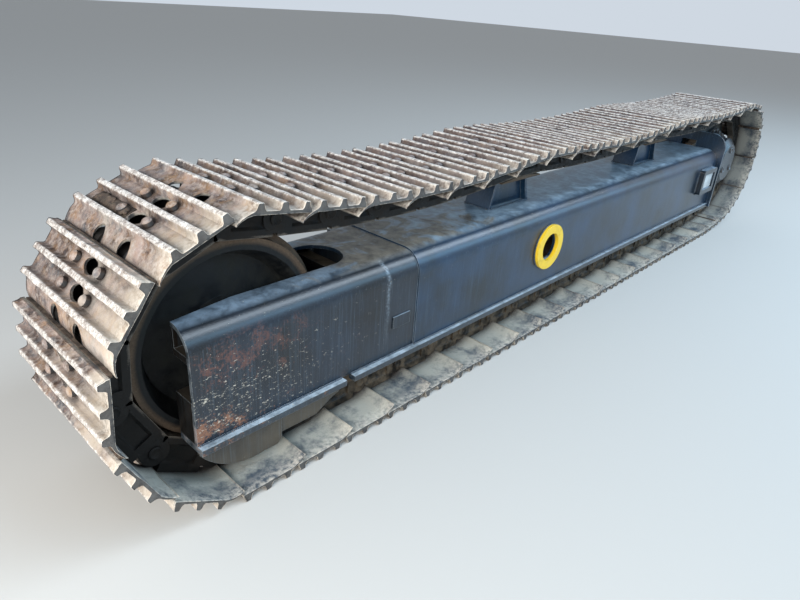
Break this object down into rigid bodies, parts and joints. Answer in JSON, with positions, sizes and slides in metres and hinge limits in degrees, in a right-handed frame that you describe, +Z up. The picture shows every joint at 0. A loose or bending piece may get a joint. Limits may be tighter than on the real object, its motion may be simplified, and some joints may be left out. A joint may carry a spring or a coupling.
{
  "type": "crawler track unit",
  "caption": "Steel crawler track unit of a mobile screening plant: shoes on link strands round an idler and a sprocket, carried by a pressed side frame.",
  "frame": {"origin": "on the ground, midway between the idler and sprocket centres and in the middle of the shoes", "axes": "+X from the idler to the sprocket, +Y inboard towards the machine, +Z up"},
  "size_m": [4.6261, 0.535, 0.8522],
  "materials": {
    "track_steel": "rolled steel, rusted and worn bright on the grouser tips, dusty",
    "frame_paint": "blue-black satin paint, scratched and dusty",
    "ring_paint": "yellow gloss paint",
    "drive_paint": "dark blue paint under oil and dust",
    "worn_steel": "cast steel, worn on the running faces, muddy",
    "machined_steel": "machined steel, greasy",
    "guard_steel": "plain plate under dried mud",
    "plate_white": "plain white paint"
  },
  "bodies": {
    "root": {"track_loop": "track_steel", "main_beam": "frame_paint", "nose": "frame_paint", "nose_floors": "frame_paint", "chain_bars": "frame_paint", "roller_bars": "frame_paint", "drive_arch": "frame_paint", "drive_plate": "frame_paint", "sprocket": "worn_steel", "final_drive": "drive_paint", "travel_motor": "drive_paint", "idler": "worn_steel", "idler_axle": "machined_steel", "idler_guides": "frame_paint", "tension_yoke": "frame_paint", "tensioner": "machined_steel", "abutment": "frame_paint", "bottom_rollers": "worn_steel", "roller_shafts": "machined_steel", "skid_pedestals": "frame_paint", "skids": "worn_steel", "access_ring": "ring_paint", "plate_guard": "frame_paint", "blank_plate": "plate_white", "front_guard": "guard_steel", "splice_patch": "frame_paint", "front_mount": "frame_paint", "rear_mount": "frame_paint"}
  },
  "joints": []
}
